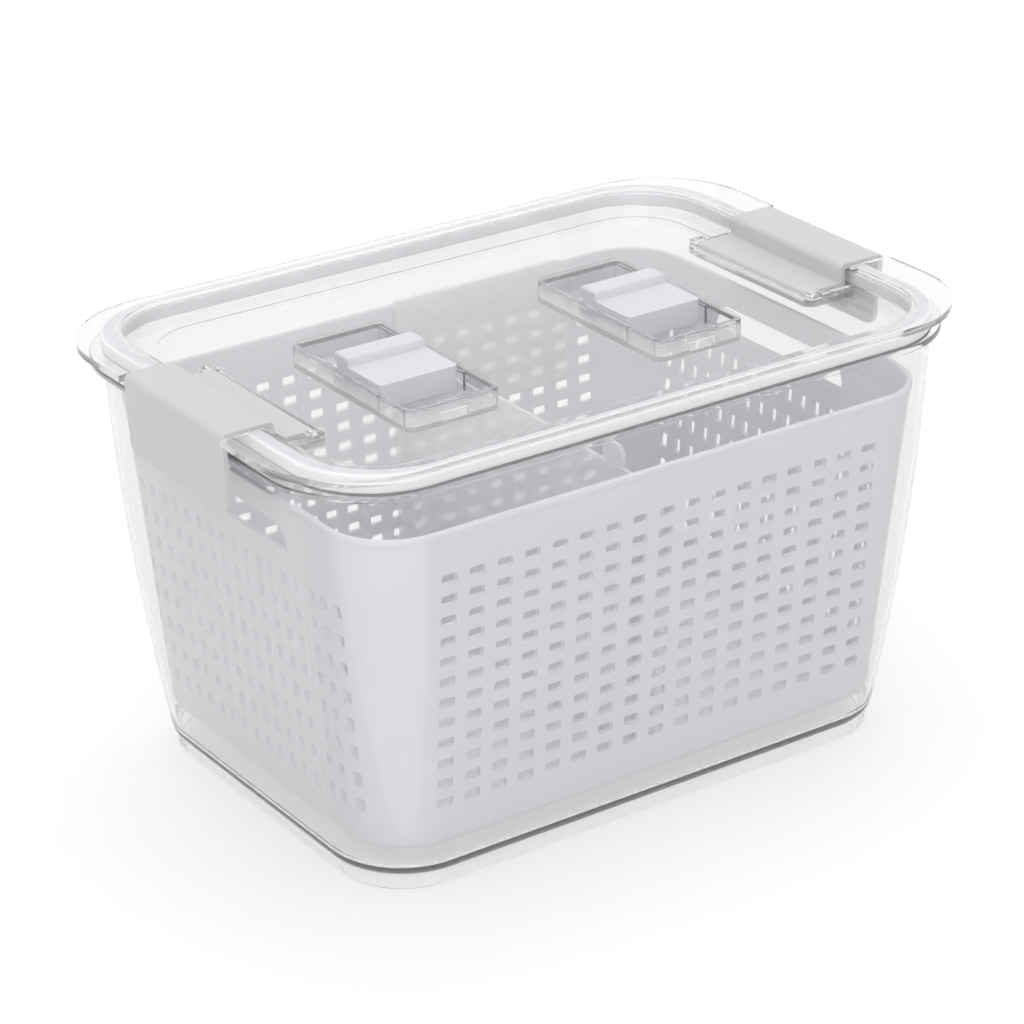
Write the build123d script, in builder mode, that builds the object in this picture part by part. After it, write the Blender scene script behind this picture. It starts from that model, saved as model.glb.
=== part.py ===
from build123d import *
import os

os.makedirs("parts", exist_ok=True)

# A food storage box for a fridge: a clear outer box, a white draining basket with a
# divider, and a clear lid with a seal, two hinged latches and two sliding vents.
# Millimetres, +X along the box, +Y to its back, +Z up.
# The origin is the middle of the foot's underside.

# Outer box: a wall that leans out and swells, on a foot ring
foot_height = 8.1
foot_length = 231.0
foot_width = 160.6
foot_corner = 26.4
foot_step = 1.0
foot_ring_thickness = 2.2
wall_low_length = 236.0
wall_low_width = 165.4
wall_low_corner = 30.0
wall_top_length = 266.0
wall_top_width = 186.6
wall_top_corner = 33.0
swell_length = 4.8
swell_width = 4.0
wall_thickness = 2.0
floor_thickness = 2.4
floor_rise = 0.7
rim_height = 160.0
lip_length = 280.0
lip_width = 189.0
lip_corner = 38.5
lip_thickness = 2.2

# Basket: straight leaning walls with a grid of holes on all sides
basket_gap = 7.7
basket_height = 124.5
basket_low_length = 227.6
basket_low_width = 162.2
basket_top_length = 246.0
basket_top_width = 179.2
basket_corner = 24.5
basket_thickness = 1.8
basket_lip = 0.5
basket_lip_height = 3.0
basket_foot_diameter = 12.0
basket_foot_inset = 24.5
seat_clearance = 0.05
side_hole_width = 6.3
side_hole_height = 3.6
side_pitch_along = 11.35
side_pitch_up = 8.02
side_columns = 17
side_rows = 12
side_grid_bottom = 17.6
end_hole_width = 3.8
end_hole_height = 5.8
end_pitch_along = 8.2
end_pitch_up = 10.86
end_columns = 17
end_rows = 8
end_grid_bottom = 16.3
base_hole_size = 6.0
base_pitch = 13.0
base_columns = 13
base_rows = 9
handle_width = 76.0
handle_height = 9.8
handle_drop = 10.2
handle_corner = 8.0

# Divider: a cross plate with a small round tab that stands on the basket's floor, a short
# flange along the front wall and a wing along the back wall
divider_thickness = 1.8
divider_clearance = 0.7
divider_drop = 11.6
divider_front_flange = 8.0
divider_tab_length = 12.0
divider_tab_height = 9.2
divider_tab_sink = 0.8
divider_tab_front = 63.2
divider_wing_rise = 4.0
divider_wing_length = 82.0
divider_wing_height = 51.0
divider_wing_corner = 8.0

# Lid: a flange round a sunk panel
seal_height = 5.0
flange_thickness = 2.6
lid_length = 290.0
lid_width = 190.0
lid_corner = 39.4
recess_length = 253.1
recess_width = 175.7
recess_corner = 30.0
recess_depth = 7.3
recess_wall = 2.0
panel_thickness = 2.0
panel_border = 10.5
panel_step = 0.3
panel_step_corner = 24.0
seal_length = 268.0
seal_width = 186.0
seal_corner = 33.5
seal_clearance = 0.05
seal_cover = 0.65

# Vents: two wells in the panel, each with a slider
vent_centre = 53.7
vent_length = 39.4
vent_width = 78.0
vent_corner = 4.0
vent_rim = 0.6
vent_depth = 9.5
vent_wall = 1.8
vent_floor = 1.4
vent_slot_length = 11.5
vent_slot_height = 3.0
rail_width = 1.0
rail_height = 7.0
rail_front = 18.5
slider_side_clearance = 0.5
slider_width = 30.0
slider_offset = -1.5
slider_rise = 1.9
slider_clearance = 0.15
slider_shell = 1.6
slider_corner = 2.0
grip_height = 3.5
grip_width = 9.0
grip_corner = 1.2

# Latches: a plate over each end of the lid with a skirt down past the box's lip
latch_width = 66.0
latch_thickness = 2.2
latch_proud = 0.8
latch_riser = 14.5
latch_skirt_drop = 29.4
latch_lip_clearance = 0.4
latch_lean = 1.2
latch_corner = 2.4
latch_skirt_corner = 4.0
latch_side_gap = 1.5
latch_seat_clearance = 0.2
catch_radius = 1.1
catch_clearance = 0.4
hinge_distance = 108.5
hinge_drop = 0.9
hinge_knuckle_radius = 1.9
trunnion_radius = 1.5
trunnion_clearance = 0.08
hinge_end_gap = 0.5
lug_length = 6.0
lug_width = 3.0
lug_rise = 2.4
well_inset = 4.2
well_depth = 3.4
well_floor = 1.4
well_wall = 1.6
well_corner = 4.0

# Room that a cut goes past a face, so that it opens it cleanly
cut_overrun = 1.0

# Levels worked out from the sizes above
floor_top = foot_height + floor_rise
basket_bottom = floor_top + basket_gap
basket_top = basket_bottom + basket_height
seal_bottom = rim_height + seal_clearance
flange_bottom = rim_height + seal_height
lid_top = flange_bottom + flange_thickness
panel_top = lid_top - recess_depth
panel_bottom = panel_top - panel_thickness
tub_length = recess_length + 2 * recess_wall
tub_width = recess_width + 2 * recess_wall
tub_corner = recess_corner + recess_wall
vent_top = panel_top + vent_rim
vent_bottom = vent_top - vent_depth
vent_floor_top = vent_bottom + vent_floor
slider_length = vent_length - 2 * (vent_wall + rail_width + slider_side_clearance)
hinge_height = panel_top - hinge_drop
well_floor_top = panel_top - well_depth
latch_top = lid_top + latch_proud
latch_underside = latch_top - latch_thickness
notch_half_width = latch_width / 2 + latch_side_gap


def wall_outline(height, inset=0.0):
    """Length, width and corner radius of the box's wall at a height, drawn in by an inset."""
    share = (height - foot_height) / (rim_height - foot_height)
    swell = 4 * share * (1 - share)
    length = wall_low_length + (wall_top_length - wall_low_length) * share + swell_length * swell
    width = wall_low_width + (wall_top_width - wall_low_width) * share + swell_width * swell
    corner = wall_low_corner + (wall_top_corner - wall_low_corner) * share
    return length - 2 * inset, width - 2 * inset, corner - inset


def leaning_profile(low, high):
    """Corners of the basket's outline seen along a wall: low wide at its foot, high at its rim."""
    return [
        (-low / 2, basket_bottom),
        (low / 2, basket_bottom),
        (high / 2, basket_top),
        (-high / 2, basket_top),
    ]


def basket_reach(height):
    """How far from the middle the divider may reach towards the long walls at a height."""
    share = (height - basket_bottom) / basket_height
    half_width = (basket_low_width + (basket_top_width - basket_low_width) * share) / 2
    return half_width - basket_thickness - divider_clearance


def levels(low, high, count):
    """Evenly spaced heights from low to high."""
    return [low + (high - low) * step / (count - 1) for step in range(count)]


# Outer box
foot_hollow = floor_top - floor_thickness
wall_sections = 5

with BuildPart() as outer_box:
    for height in levels(foot_height, rim_height, wall_sections):
        with BuildSketch(Plane.XY.offset(height)):
            RectangleRounded(*wall_outline(height))
    loft()
    with BuildSketch(Plane.XY):
        RectangleRounded(foot_length, foot_width, foot_corner)
    with BuildSketch(Plane.XY.offset(foot_height)):
        RectangleRounded(*wall_outline(foot_height, foot_step))
    loft()
    with BuildSketch(Plane.XY.offset(rim_height - lip_thickness)):
        RectangleRounded(lip_length, lip_width, lip_corner)
    extrude(amount=lip_thickness)
    for height in levels(floor_top, rim_height, wall_sections):
        with BuildSketch(Plane.XY.offset(height)):
            RectangleRounded(*wall_outline(height, wall_thickness))
    loft(mode=Mode.SUBTRACT)
    with BuildSketch(Plane.XY):
        RectangleRounded(
            foot_length - 2 * foot_ring_thickness,
            foot_width - 2 * foot_ring_thickness,
            foot_corner - foot_ring_thickness,
        )
    with BuildSketch(Plane.XY.offset(foot_hollow)):
        RectangleRounded(*wall_outline(foot_height, foot_step + foot_ring_thickness))
    loft(mode=Mode.SUBTRACT)

outer_box.part.label = "outer_box"
export_step(outer_box.part, "parts/outer_box.step")


# Basket
side_grid_middle = basket_bottom + side_grid_bottom + side_pitch_up * (side_rows - 1) / 2
end_grid_middle = basket_bottom + end_grid_bottom + end_pitch_up * (end_rows - 1) / 2
handle_top = basket_top - handle_drop
foot_x = basket_low_length / 2 - basket_foot_inset
foot_y = basket_low_width / 2 - basket_foot_inset

with BuildPart() as basket:
    with BuildSketch(Plane.XZ):
        Polygon(*leaning_profile(basket_low_length, basket_top_length), align=None)
    extrude(amount=basket_top_width, both=True)
    with BuildSketch(Plane.YZ):
        Polygon(*leaning_profile(basket_low_width, basket_top_width), align=None)
    extrude(amount=basket_top_length, both=True, mode=Mode.INTERSECT)
    fillet(basket.edges().group_by(Axis.Z)[1], basket_corner)
    offset(amount=-basket_thickness, openings=basket.faces().sort_by(Axis.Z)[-1])
    with BuildSketch(Plane.XY.offset(basket_top - basket_lip_height)):
        RectangleRounded(
            basket_top_length + 2 * basket_lip,
            basket_top_width + 2 * basket_lip,
            basket_corner + basket_lip,
        )
        RectangleRounded(
            basket_top_length - basket_thickness,
            basket_top_width - basket_thickness,
            basket_corner - basket_thickness / 2,
            mode=Mode.SUBTRACT,
        )
    extrude(amount=basket_lip_height)
    with BuildSketch(Plane.XZ.offset(-basket_top_width)):
        with Locations((0, side_grid_middle)):
            with GridLocations(side_pitch_along, side_pitch_up, side_columns, side_rows):
                Rectangle(side_hole_width, side_hole_height)
    extrude(amount=2 * basket_top_width, mode=Mode.SUBTRACT)
    with BuildSketch(Plane.YZ.offset(-basket_top_length)):
        with Locations((0, end_grid_middle)):
            with GridLocations(end_pitch_along, end_pitch_up, end_columns, end_rows):
                Rectangle(end_hole_width, end_hole_height)
    extrude(amount=2 * basket_top_length, mode=Mode.SUBTRACT)
    with BuildSketch(Plane.YZ.offset(-basket_top_length)) as handle_sketch:
        with Locations((0, handle_top - handle_height / 2)):
            Rectangle(handle_width, handle_height)
        fillet(handle_sketch.vertices().group_by(Axis.Y)[-1], handle_corner)
    extrude(amount=2 * basket_top_length, mode=Mode.SUBTRACT)
    with BuildSketch(Plane.XY.offset(basket_bottom)):
        with GridLocations(base_pitch, base_pitch, base_columns, base_rows):
            Rectangle(base_hole_size, base_hole_size)
    extrude(amount=basket_thickness + cut_overrun, mode=Mode.SUBTRACT)
    with BuildSketch(Plane.XY.offset(floor_top + seat_clearance)):
        with GridLocations(2 * foot_x, 2 * foot_y, 2, 2):
            Circle(basket_foot_diameter / 2)
    extrude(amount=basket_gap - seat_clearance + basket_thickness)

basket.part.label = "basket"
export_step(basket.part, "parts/basket.step")


# Divider
divider_bottom = basket_bottom + basket_thickness + seat_clearance
divider_top = basket_top - divider_drop
low_reach = basket_reach(divider_bottom)
high_reach = basket_reach(divider_top)
tab_middle = divider_tab_length / 2 - divider_tab_front
tab_level = divider_top - divider_tab_sink + divider_tab_height / 2
wing_bottom = basket_top + divider_wing_rise - divider_wing_height
wing_reach = basket_reach(wing_bottom)

with BuildPart() as divider:
    with BuildSketch(Plane.YZ):
        Polygon(
            (-low_reach, divider_bottom),
            (low_reach, divider_bottom),
            (high_reach, divider_top),
            (-high_reach, divider_top),
            align=None,
        )
        with Locations((tab_middle, tab_level)):
            SlotOverall(divider_tab_length, divider_tab_height)
    extrude(amount=divider_thickness / 2, both=True)
    with BuildSketch(Plane.XZ.offset(-wing_reach)) as wing_sketch:
        with Locations((0, wing_bottom)):
            Rectangle(
                divider_wing_length,
                divider_wing_height,
                align=(Align.MIN, Align.MIN),
            )
        fillet(wing_sketch.vertices().group_by(Axis.X)[-1], divider_wing_corner)
    extrude(amount=divider_thickness)
    with BuildSketch(Plane.XZ.offset(low_reach - divider_thickness)):
        with Locations((0, divider_bottom)):
            Rectangle(
                divider_front_flange,
                divider_top - divider_bottom,
                align=(Align.MAX, Align.MIN),
            )
    extrude(amount=divider_thickness)

divider.part.label = "divider"
export_step(divider.part, "parts/divider.step")


# Lid
well_inner_end = hinge_distance - well_inset
well_body_length = tub_length / 2 - well_inner_end
well_body_centre = well_inner_end + well_body_length / 2
well_room_length = recess_length / 2 - well_inner_end - well_wall
well_room_centre = well_inner_end + well_wall + well_room_length / 2
socket_reach = notch_half_width + lug_width
lug_middle = latch_width / 2 + hinge_end_gap + lug_width / 2
vent_places = [(-vent_centre, 0), (vent_centre, 0)]
rail_back = vent_width / 2 - vent_wall
notch_length = lid_length / 2 - recess_length / 2
notch_centre = (lid_length + recess_length) / 4
seal_cover_end = seal_length / 2 + seal_cover

with BuildPart() as lid:
    with BuildSketch(Plane.XY.offset(flange_bottom)):
        RectangleRounded(lid_length, lid_width, lid_corner)
    extrude(amount=flange_thickness)
    with BuildSketch(Plane.XY.offset(panel_bottom)):
        RectangleRounded(tub_length, tub_width, tub_corner)
    extrude(amount=flange_bottom - panel_bottom)
    with BuildSketch(Plane.XY.offset(well_floor_top - well_floor)):
        with Locations((-well_body_centre, 0), (well_body_centre, 0)):
            RectangleRounded(well_body_length, 2 * socket_reach, well_corner)
    extrude(amount=panel_top - well_floor_top + well_floor)
    with BuildSketch(Plane.XY.offset(panel_top)):
        RectangleRounded(recess_length, recess_width, recess_corner)
    extrude(amount=recess_depth, mode=Mode.SUBTRACT)
    with BuildSketch(Plane.XY.offset(panel_top - panel_step)):
        RectangleRounded(
            recess_length - 2 * panel_border,
            recess_width - 2 * panel_border,
            panel_step_corner,
        )
    extrude(amount=panel_step, mode=Mode.SUBTRACT)
    with BuildSketch(Plane.XY.offset(vent_bottom)):
        with Locations(*vent_places):
            RectangleRounded(vent_length, vent_width, vent_corner)
    extrude(amount=vent_depth)
    with BuildSketch(Plane.XY.offset(vent_floor_top)):
        with Locations(*vent_places):
            RectangleRounded(
                vent_length - 2 * vent_wall,
                vent_width - 2 * vent_wall,
                vent_corner - vent_wall,
            )
    extrude(amount=vent_depth, mode=Mode.SUBTRACT)
    with BuildSketch(Plane.XZ.offset(vent_width / 2 - vent_wall - cut_overrun)):
        with Locations((-vent_centre, vent_floor_top), (vent_centre, vent_floor_top)):
            Rectangle(vent_slot_length, vent_slot_height, align=(Align.CENTER, Align.MIN))
    extrude(amount=vent_wall + 2 * cut_overrun, mode=Mode.SUBTRACT)
    with BuildSketch(Plane.XY.offset(vent_floor_top)):
        for middle in (-vent_centre, vent_centre):
            for side in (-1, 1):
                rail_x = middle + side * (vent_length / 2 - vent_wall - rail_width / 2)
                with Locations((rail_x, (rail_back - rail_front) / 2)):
                    Rectangle(rail_width, rail_front + rail_back)
    extrude(amount=rail_height)
    with BuildSketch(Plane.XY.offset(well_floor_top)):
        with Locations((-well_room_centre, 0), (well_room_centre, 0)):
            Rectangle(well_room_length, 2 * notch_half_width)
    extrude(amount=lid_top - well_floor_top, mode=Mode.SUBTRACT)
    with BuildSketch(Plane.XY.offset(latch_underside - latch_seat_clearance)):
        with Locations((-notch_centre, 0), (notch_centre, 0)):
            Rectangle(notch_length + 2 * recess_wall, 2 * notch_half_width)
    extrude(amount=latch_thickness + latch_proud, mode=Mode.SUBTRACT)
    with BuildSketch(Plane.XY.offset(flange_bottom)):
        for side in (-1, 1):
            with Locations((side * seal_cover_end, 0)):
                Rectangle(
                    notch_length,
                    2 * notch_half_width,
                    align=(Align.MAX if side < 0 else Align.MIN, Align.CENTER),
                )
    extrude(amount=flange_thickness, mode=Mode.SUBTRACT)
    with BuildSketch(Plane.XY.offset(well_floor_top - well_floor)):
        with GridLocations(2 * hinge_distance, 2 * lug_middle, 2, 2):
            Rectangle(lug_length, lug_width)
    extrude(amount=hinge_height + lug_rise - well_floor_top + well_floor)
    with BuildSketch(Plane.XZ):
        with Locations((-hinge_distance, hinge_height), (hinge_distance, hinge_height)):
            Circle(trunnion_radius + trunnion_clearance)
    extrude(amount=latch_width / 2 + hinge_end_gap + lug_width, both=True, mode=Mode.SUBTRACT)

lid.part.label = "lid"
export_step(lid.part, "parts/lid.step")


# Lid seal
with BuildPart() as lid_seal:
    with BuildSketch(Plane.XY.offset(seal_bottom)):
        RectangleRounded(seal_length, seal_width, seal_corner)
        RectangleRounded(
            tub_length + 2 * seal_clearance,
            tub_width + 2 * seal_clearance,
            tub_corner + seal_clearance,
            mode=Mode.SUBTRACT,
        )
    extrude(amount=flange_bottom - seal_bottom)

lid_seal.part.label = "lid_seal"
export_step(lid_seal.part, "parts/lid_seal.step")


# Vent sliders
slider_bottom = vent_floor_top + slider_clearance
slider_top = panel_top + slider_rise
slider_names = {-1: "vent_slider_left", 1: "vent_slider_right"}

for side, slider_name in slider_names.items():
    with BuildPart() as slider:
        with BuildSketch(Plane.XY.offset(slider_bottom)):
            with Locations((side * vent_centre, slider_offset)):
                RectangleRounded(slider_length, slider_width, slider_corner)
        extrude(amount=slider_top - slider_bottom)
        with BuildSketch(Plane.XY.offset(slider_top)):
            with Locations((side * vent_centre, slider_offset + slider_width / 2)):
                Rectangle(slider_length, grip_width, align=(Align.CENTER, Align.MAX))
        extrude(amount=grip_height)
        fillet(slider.edges().group_by(Axis.Z)[-1], grip_corner)
        with BuildSketch(Plane.XY.offset(slider_bottom)):
            with Locations((side * vent_centre, slider_offset)):
                Rectangle(slider_length - 2 * slider_shell, slider_width - 2 * slider_shell)
        extrude(amount=slider_top - slider_bottom - slider_shell, mode=Mode.SUBTRACT)
    slider.part.label = slider_name
    export_step(slider.part, f"parts/{slider_name}.step")


# Latches
lip_reach = lip_length / 2
skirt_bottom = latch_top - latch_skirt_drop
skirt_top_inside = lip_reach + latch_lip_clearance + latch_lean
skirt_low_inside = lip_reach + latch_lip_clearance
riser_outside = hinge_distance + latch_riser
low_plate_top = hinge_height + hinge_knuckle_radius
low_plate_bottom = low_plate_top - latch_thickness
catch_height = rim_height - lip_thickness - catch_clearance - catch_radius
catch_inside = lip_reach + latch_lip_clearance + catch_radius
latch_names = {-1: "latch_left", 1: "latch_right"}

for side, latch_name in latch_names.items():
    with BuildPart() as latch:
        with BuildSketch(Plane.XZ) as latch_sketch:
            with BuildLine():
                Polyline(
                    (side * hinge_distance, low_plate_bottom),
                    (side * (riser_outside + latch_thickness), low_plate_bottom),
                    (side * (riser_outside + latch_thickness), latch_underside),
                    (side * skirt_top_inside, latch_underside),
                    (side * skirt_low_inside, skirt_bottom),
                    (side * (skirt_low_inside + latch_thickness), skirt_bottom),
                    (side * (skirt_top_inside + latch_thickness), latch_top),
                    (side * riser_outside, latch_top),
                    (side * riser_outside, low_plate_top),
                    (side * hinge_distance, low_plate_top),
                    close=True,
                )
            make_face()
            fillet(latch_sketch.vertices().group_by(Axis.Y)[-1], latch_corner)
            with Locations((side * hinge_distance, hinge_height)):
                Circle(hinge_knuckle_radius)
            with Locations((side * catch_inside, catch_height)):
                Circle(catch_radius)
        extrude(amount=latch_width / 2, both=True)
        fillet(latch.edges().filter_by(Axis.X).group_by(Axis.Z)[0], latch_skirt_corner)
        with BuildSketch(Plane.XZ):
            with Locations((side * hinge_distance, hinge_height)):
                Circle(trunnion_radius)
        extrude(amount=latch_width / 2 + hinge_end_gap + lug_width, both=True)
    latch.part.label = latch_name
    export_step(latch.part, f"parts/{latch_name}.step")
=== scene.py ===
import math

import bmesh
import bpy
import numpy as np
from mathutils import Matrix, Vector


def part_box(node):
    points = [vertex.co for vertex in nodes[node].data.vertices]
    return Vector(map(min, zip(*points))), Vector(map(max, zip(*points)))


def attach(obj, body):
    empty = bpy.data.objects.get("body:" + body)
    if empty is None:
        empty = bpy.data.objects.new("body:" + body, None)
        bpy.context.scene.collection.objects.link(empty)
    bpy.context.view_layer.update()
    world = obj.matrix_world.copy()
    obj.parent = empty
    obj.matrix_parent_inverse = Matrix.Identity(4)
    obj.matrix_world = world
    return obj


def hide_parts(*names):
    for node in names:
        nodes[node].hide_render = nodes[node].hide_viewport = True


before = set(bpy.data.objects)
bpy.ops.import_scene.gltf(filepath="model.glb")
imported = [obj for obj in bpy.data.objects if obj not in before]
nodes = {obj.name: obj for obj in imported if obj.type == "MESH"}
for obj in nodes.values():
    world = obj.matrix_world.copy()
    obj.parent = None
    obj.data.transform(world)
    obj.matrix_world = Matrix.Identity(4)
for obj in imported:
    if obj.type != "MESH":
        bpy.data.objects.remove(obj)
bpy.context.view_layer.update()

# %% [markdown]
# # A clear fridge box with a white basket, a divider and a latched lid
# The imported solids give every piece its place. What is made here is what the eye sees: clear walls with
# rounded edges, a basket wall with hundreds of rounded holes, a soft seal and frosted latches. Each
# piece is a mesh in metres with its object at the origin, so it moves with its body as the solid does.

MM = 0.001

# %% [markdown]
# ## Camera
# The photograph looks down at the box from its front left with a long lens. A long lens keeps upright
# edges nearly parallel, which is why the box looks so calm. The camera is placed by the point it looks
# at, its direction and its distance, and its three axes are written straight into its matrix. Target and
# distance are in millimetres, and so is the lens. All were fitted to the outlines of the photograph.

# %% Camera
CAMERA_TARGET = np.array([39.41, 63.03, 54.43])
CAMERA_DISTANCE = 1388.92
CAMERA_AZIMUTH = math.radians(-34.5)
CAMERA_ELEVATION = math.radians(24.81)
CAMERA_ROLL = math.radians(-0.76)
CAMERA_LENS = 124.25


def camera_matrix(target, distance, azimuth, elevation, roll):
    """Columns are the camera's right, up and back axes and its place, which is back from the target."""
    level = math.cos(elevation)
    back = np.array([math.sin(azimuth) * level, -math.cos(azimuth) * level, math.sin(elevation)])
    right = np.cross(-back, (0, 0, 1))
    right /= np.linalg.norm(right)
    up = np.cross(right, -back)
    matrix = np.eye(4)
    matrix[:3, 0] = math.cos(roll) * right + math.sin(roll) * up
    matrix[:3, 1] = math.cos(roll) * up - math.sin(roll) * right
    matrix[:3, 2] = back
    matrix[:3, 3] = (target + back * distance) * MM
    return matrix


camera_data = bpy.data.cameras.new("camera")
camera_data.lens = CAMERA_LENS
camera = bpy.data.objects.new("camera", camera_data)
bpy.context.scene.collection.objects.link(camera)
camera.matrix_world = Matrix(camera_matrix(
    CAMERA_TARGET, CAMERA_DISTANCE, CAMERA_AZIMUTH, CAMERA_ELEVATION, CAMERA_ROLL
).tolist())
bpy.context.scene.camera = camera
bpy.context.scene.view_settings.view_transform = "Standard"
print("camera at, mm:", [round(v / MM) for v in camera.matrix_world.translation])

# %% [markdown]
# ## Small helpers for materials
# Hex colours are how a screen shows them, so one function turns them into the linear values that the
# shaders work with. A second adds any node with its settings and links, which keeps each material short.

# %% Helpers for materials
NOISE_MIDDLE_BAND = (0.35, 0.65)


def linear(code):
    """sRGB hex to linear red, green, blue and alpha."""
    value = np.array([int(code[i:i + 2], 16) for i in (1, 3, 5)]) / 255
    value = np.where(value <= 0.04045, value / 12.92, ((value + 0.055) / 1.055) ** 2.4)
    return (*value, 1.0)


def add(tree, kind, settings=None, links=None):
    """Adds a node, sets its properties or inputs by name or number, and links its inputs."""
    node = tree.nodes.new(kind)
    for key, value in (settings or {}).items():
        if isinstance(key, str) and hasattr(node, key):
            setattr(node, key, value)
        else:
            node.inputs[key].default_value = value
    for key, source in (links or {}).items():
        tree.links.new(source, node.inputs[key])
    return node


def new_material(name):
    """An empty node material and its output node."""
    material = bpy.data.materials.new(name)
    material.use_nodes = True
    material.node_tree.nodes.clear()
    output = add(material.node_tree, "ShaderNodeOutputMaterial")
    return material, material.node_tree, output


def bump_of_noise(tree, size_mm, depth_mm, detail=2.0):
    """Object coordinates and a bump on them: the noise scale is how many grains fit in a metre."""
    place = add(tree, "ShaderNodeTexCoord")
    noise = add(
        tree,
        "ShaderNodeTexNoise",
        {"Scale": 1 / (size_mm * MM), "Detail": detail, "Roughness": 0.5},
        {"Vector": place.outputs["Object"]},
    )
    bump = add(
        tree,
        "ShaderNodeBump",
        {"Strength": 1.0, "Distance": depth_mm * MM},
        {"Height": noise.outputs["Fac"]},
    )
    return place, bump


def roughness_of_noise(tree, place, size_mm, low, high):
    """A slow wander of roughness: the middle band of a noise is stretched from low to high."""
    band_low, band_high = NOISE_MIDDLE_BAND
    noise = add(
        tree,
        "ShaderNodeTexNoise",
        {"Scale": 1 / (size_mm * MM), "Detail": 3.0},
        {"Vector": place.outputs["Object"]},
    )
    return add(
        tree,
        "ShaderNodeMapRange",
        {"From Min": band_low, "From Max": band_high, "To Min": low, "To Max": high},
        {"Value": noise.outputs["Fac"]},
    )


print("helpers ready")

# %% [markdown]
# ## Clear styrene, injection moulded
# Glass-clear plastic with an index near 1.57. The eye reads it by its edges: light that enters an edge
# travels far inside before it leaves, so edges go grey while walls stay almost invisible. An absorbing
# volume gives just that. The wall is a true closed shell, so the two surfaces bend light as they should.
# Lamps shine through it: for shadow rays the refracting skin is swapped for a plain transparent one. A
# share of the other rays goes straight on too, so that no edge turns black. The lid looks slightly
# milkier than the box, so a thin veil of scattered light is mixed over it.

# %% Clear plastics
STYRENE_IOR = 1.57
STRAIGHT_SHARE = 0.06
CLEAR_WANDER_MM = 60.0


def clear_plastic(name, roughness, grain_mm, grain_depth_mm, murk, density, veil_share):
    """Clear moulded plastic: a refracting skin, slightly wavy, over a volume that greys long paths."""
    material, tree, output = new_material(name)
    place, bump = bump_of_noise(tree, grain_mm, grain_depth_mm)
    rough = roughness_of_noise(tree, place, CLEAR_WANDER_MM, *roughness)
    skin = add(
        tree,
        "ShaderNodeBsdfPrincipled",
        {"Base Color": linear("#FFFFFF"), "Transmission Weight": 1.0, "IOR": STYRENE_IOR},
        {"Normal": bump.outputs["Normal"], "Roughness": rough.outputs["Result"]},
    )
    path = add(tree, "ShaderNodeLightPath")
    through = add(tree, "ShaderNodeBsdfTransparent", {"Color": linear("#FAFAFB")})
    straight = add(
        tree,
        "ShaderNodeMath",
        {"operation": "MAXIMUM", 1: STRAIGHT_SHARE},
        {0: path.outputs["Is Shadow Ray"]},
    )
    clear = add(
        tree,
        "ShaderNodeMixShader",
        None,
        {"Fac": straight.outputs["Value"], 1: skin.outputs["BSDF"], 2: through.outputs["BSDF"]},
    )
    veil = add(tree, "ShaderNodeBsdfDiffuse", {"Color": linear("#FFFFFF")})
    mixed = add(
        tree,
        "ShaderNodeMixShader",
        {"Fac": veil_share},
        {1: clear.outputs["Shader"], 2: veil.outputs["BSDF"]},
    )
    volume = add(tree, "ShaderNodeVolumeAbsorption", {"Color": linear(murk), "Density": density})
    tree.links.new(mixed.outputs["Shader"], output.inputs["Surface"])
    tree.links.new(volume.outputs["Volume"], output.inputs["Volume"])
    return material


box_styrene = clear_plastic(
    "clear_moulded_styrene_box", roughness=(0.0, 0.03), grain_mm=40.0, grain_depth_mm=0.003,
    murk="#CBCCCF", density=12.0, veil_share=0.0,
)
lid_styrene = clear_plastic(
    "clear_moulded_styrene_lid", roughness=(0.0, 0.03), grain_mm=40.0, grain_depth_mm=0.0015,
    murk="#D2D3D6", density=12.0, veil_share=0.03,
)
print("clear plastics:", box_styrene.name, "and", lid_styrene.name)

# %% [markdown]
# ## White and frosted polypropylene, and silicone
# The basket and the sliders are white polypropylene: a soft, slightly waxy white, because light spreads
# a little below the surface. The latches have little pigment, so a share of the light passes them
# blurred. The divider is a thin plate with hardly any, and half of the light passes it straight. The
# soft seal only scatters. All of them come from one function with different shares.

# %% Milky plastics
POLYPROPYLENE_IOR = 1.49
MILKY_WANDER_MM = 25.0
MILKY_GRAIN_DETAIL = 3.0
SCATTER_DEPTH_MM = 2.0


def milky_plastic(name, colour, roughness, grain_mm, grain_depth_mm, scatter, passage, clear=0.0):
    """Polypropylene or silicone: base colour, scatter below the skin, a share of light that passes
    blurred and, for a thin unpigmented plate, a share that passes straight."""
    material, tree, output = new_material(name)
    place, bump = bump_of_noise(tree, grain_mm, grain_depth_mm, MILKY_GRAIN_DETAIL)
    rough = roughness_of_noise(tree, place, MILKY_WANDER_MM, *roughness)
    skin = add(
        tree,
        "ShaderNodeBsdfPrincipled",
        {
            "Base Color": linear(colour),
            "Transmission Weight": passage,
            "IOR": POLYPROPYLENE_IOR,
            "Subsurface Weight": scatter,
            "Subsurface Radius": (1.0, 1.0, 1.0),
            "Subsurface Scale": SCATTER_DEPTH_MM * MM,
        },
        {"Normal": bump.outputs["Normal"], "Roughness": rough.outputs["Result"]},
    )
    surface = skin.outputs["BSDF"]
    if clear:
        through = add(tree, "ShaderNodeBsdfTransparent", {"Color": linear("#FCFCFD")})
        mixed = add(
            tree, "ShaderNodeMixShader", {"Fac": clear}, {1: surface, 2: through.outputs["BSDF"]}
        )
        surface = mixed.outputs["Shader"]
    tree.links.new(surface, output.inputs["Surface"])
    return material


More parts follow.
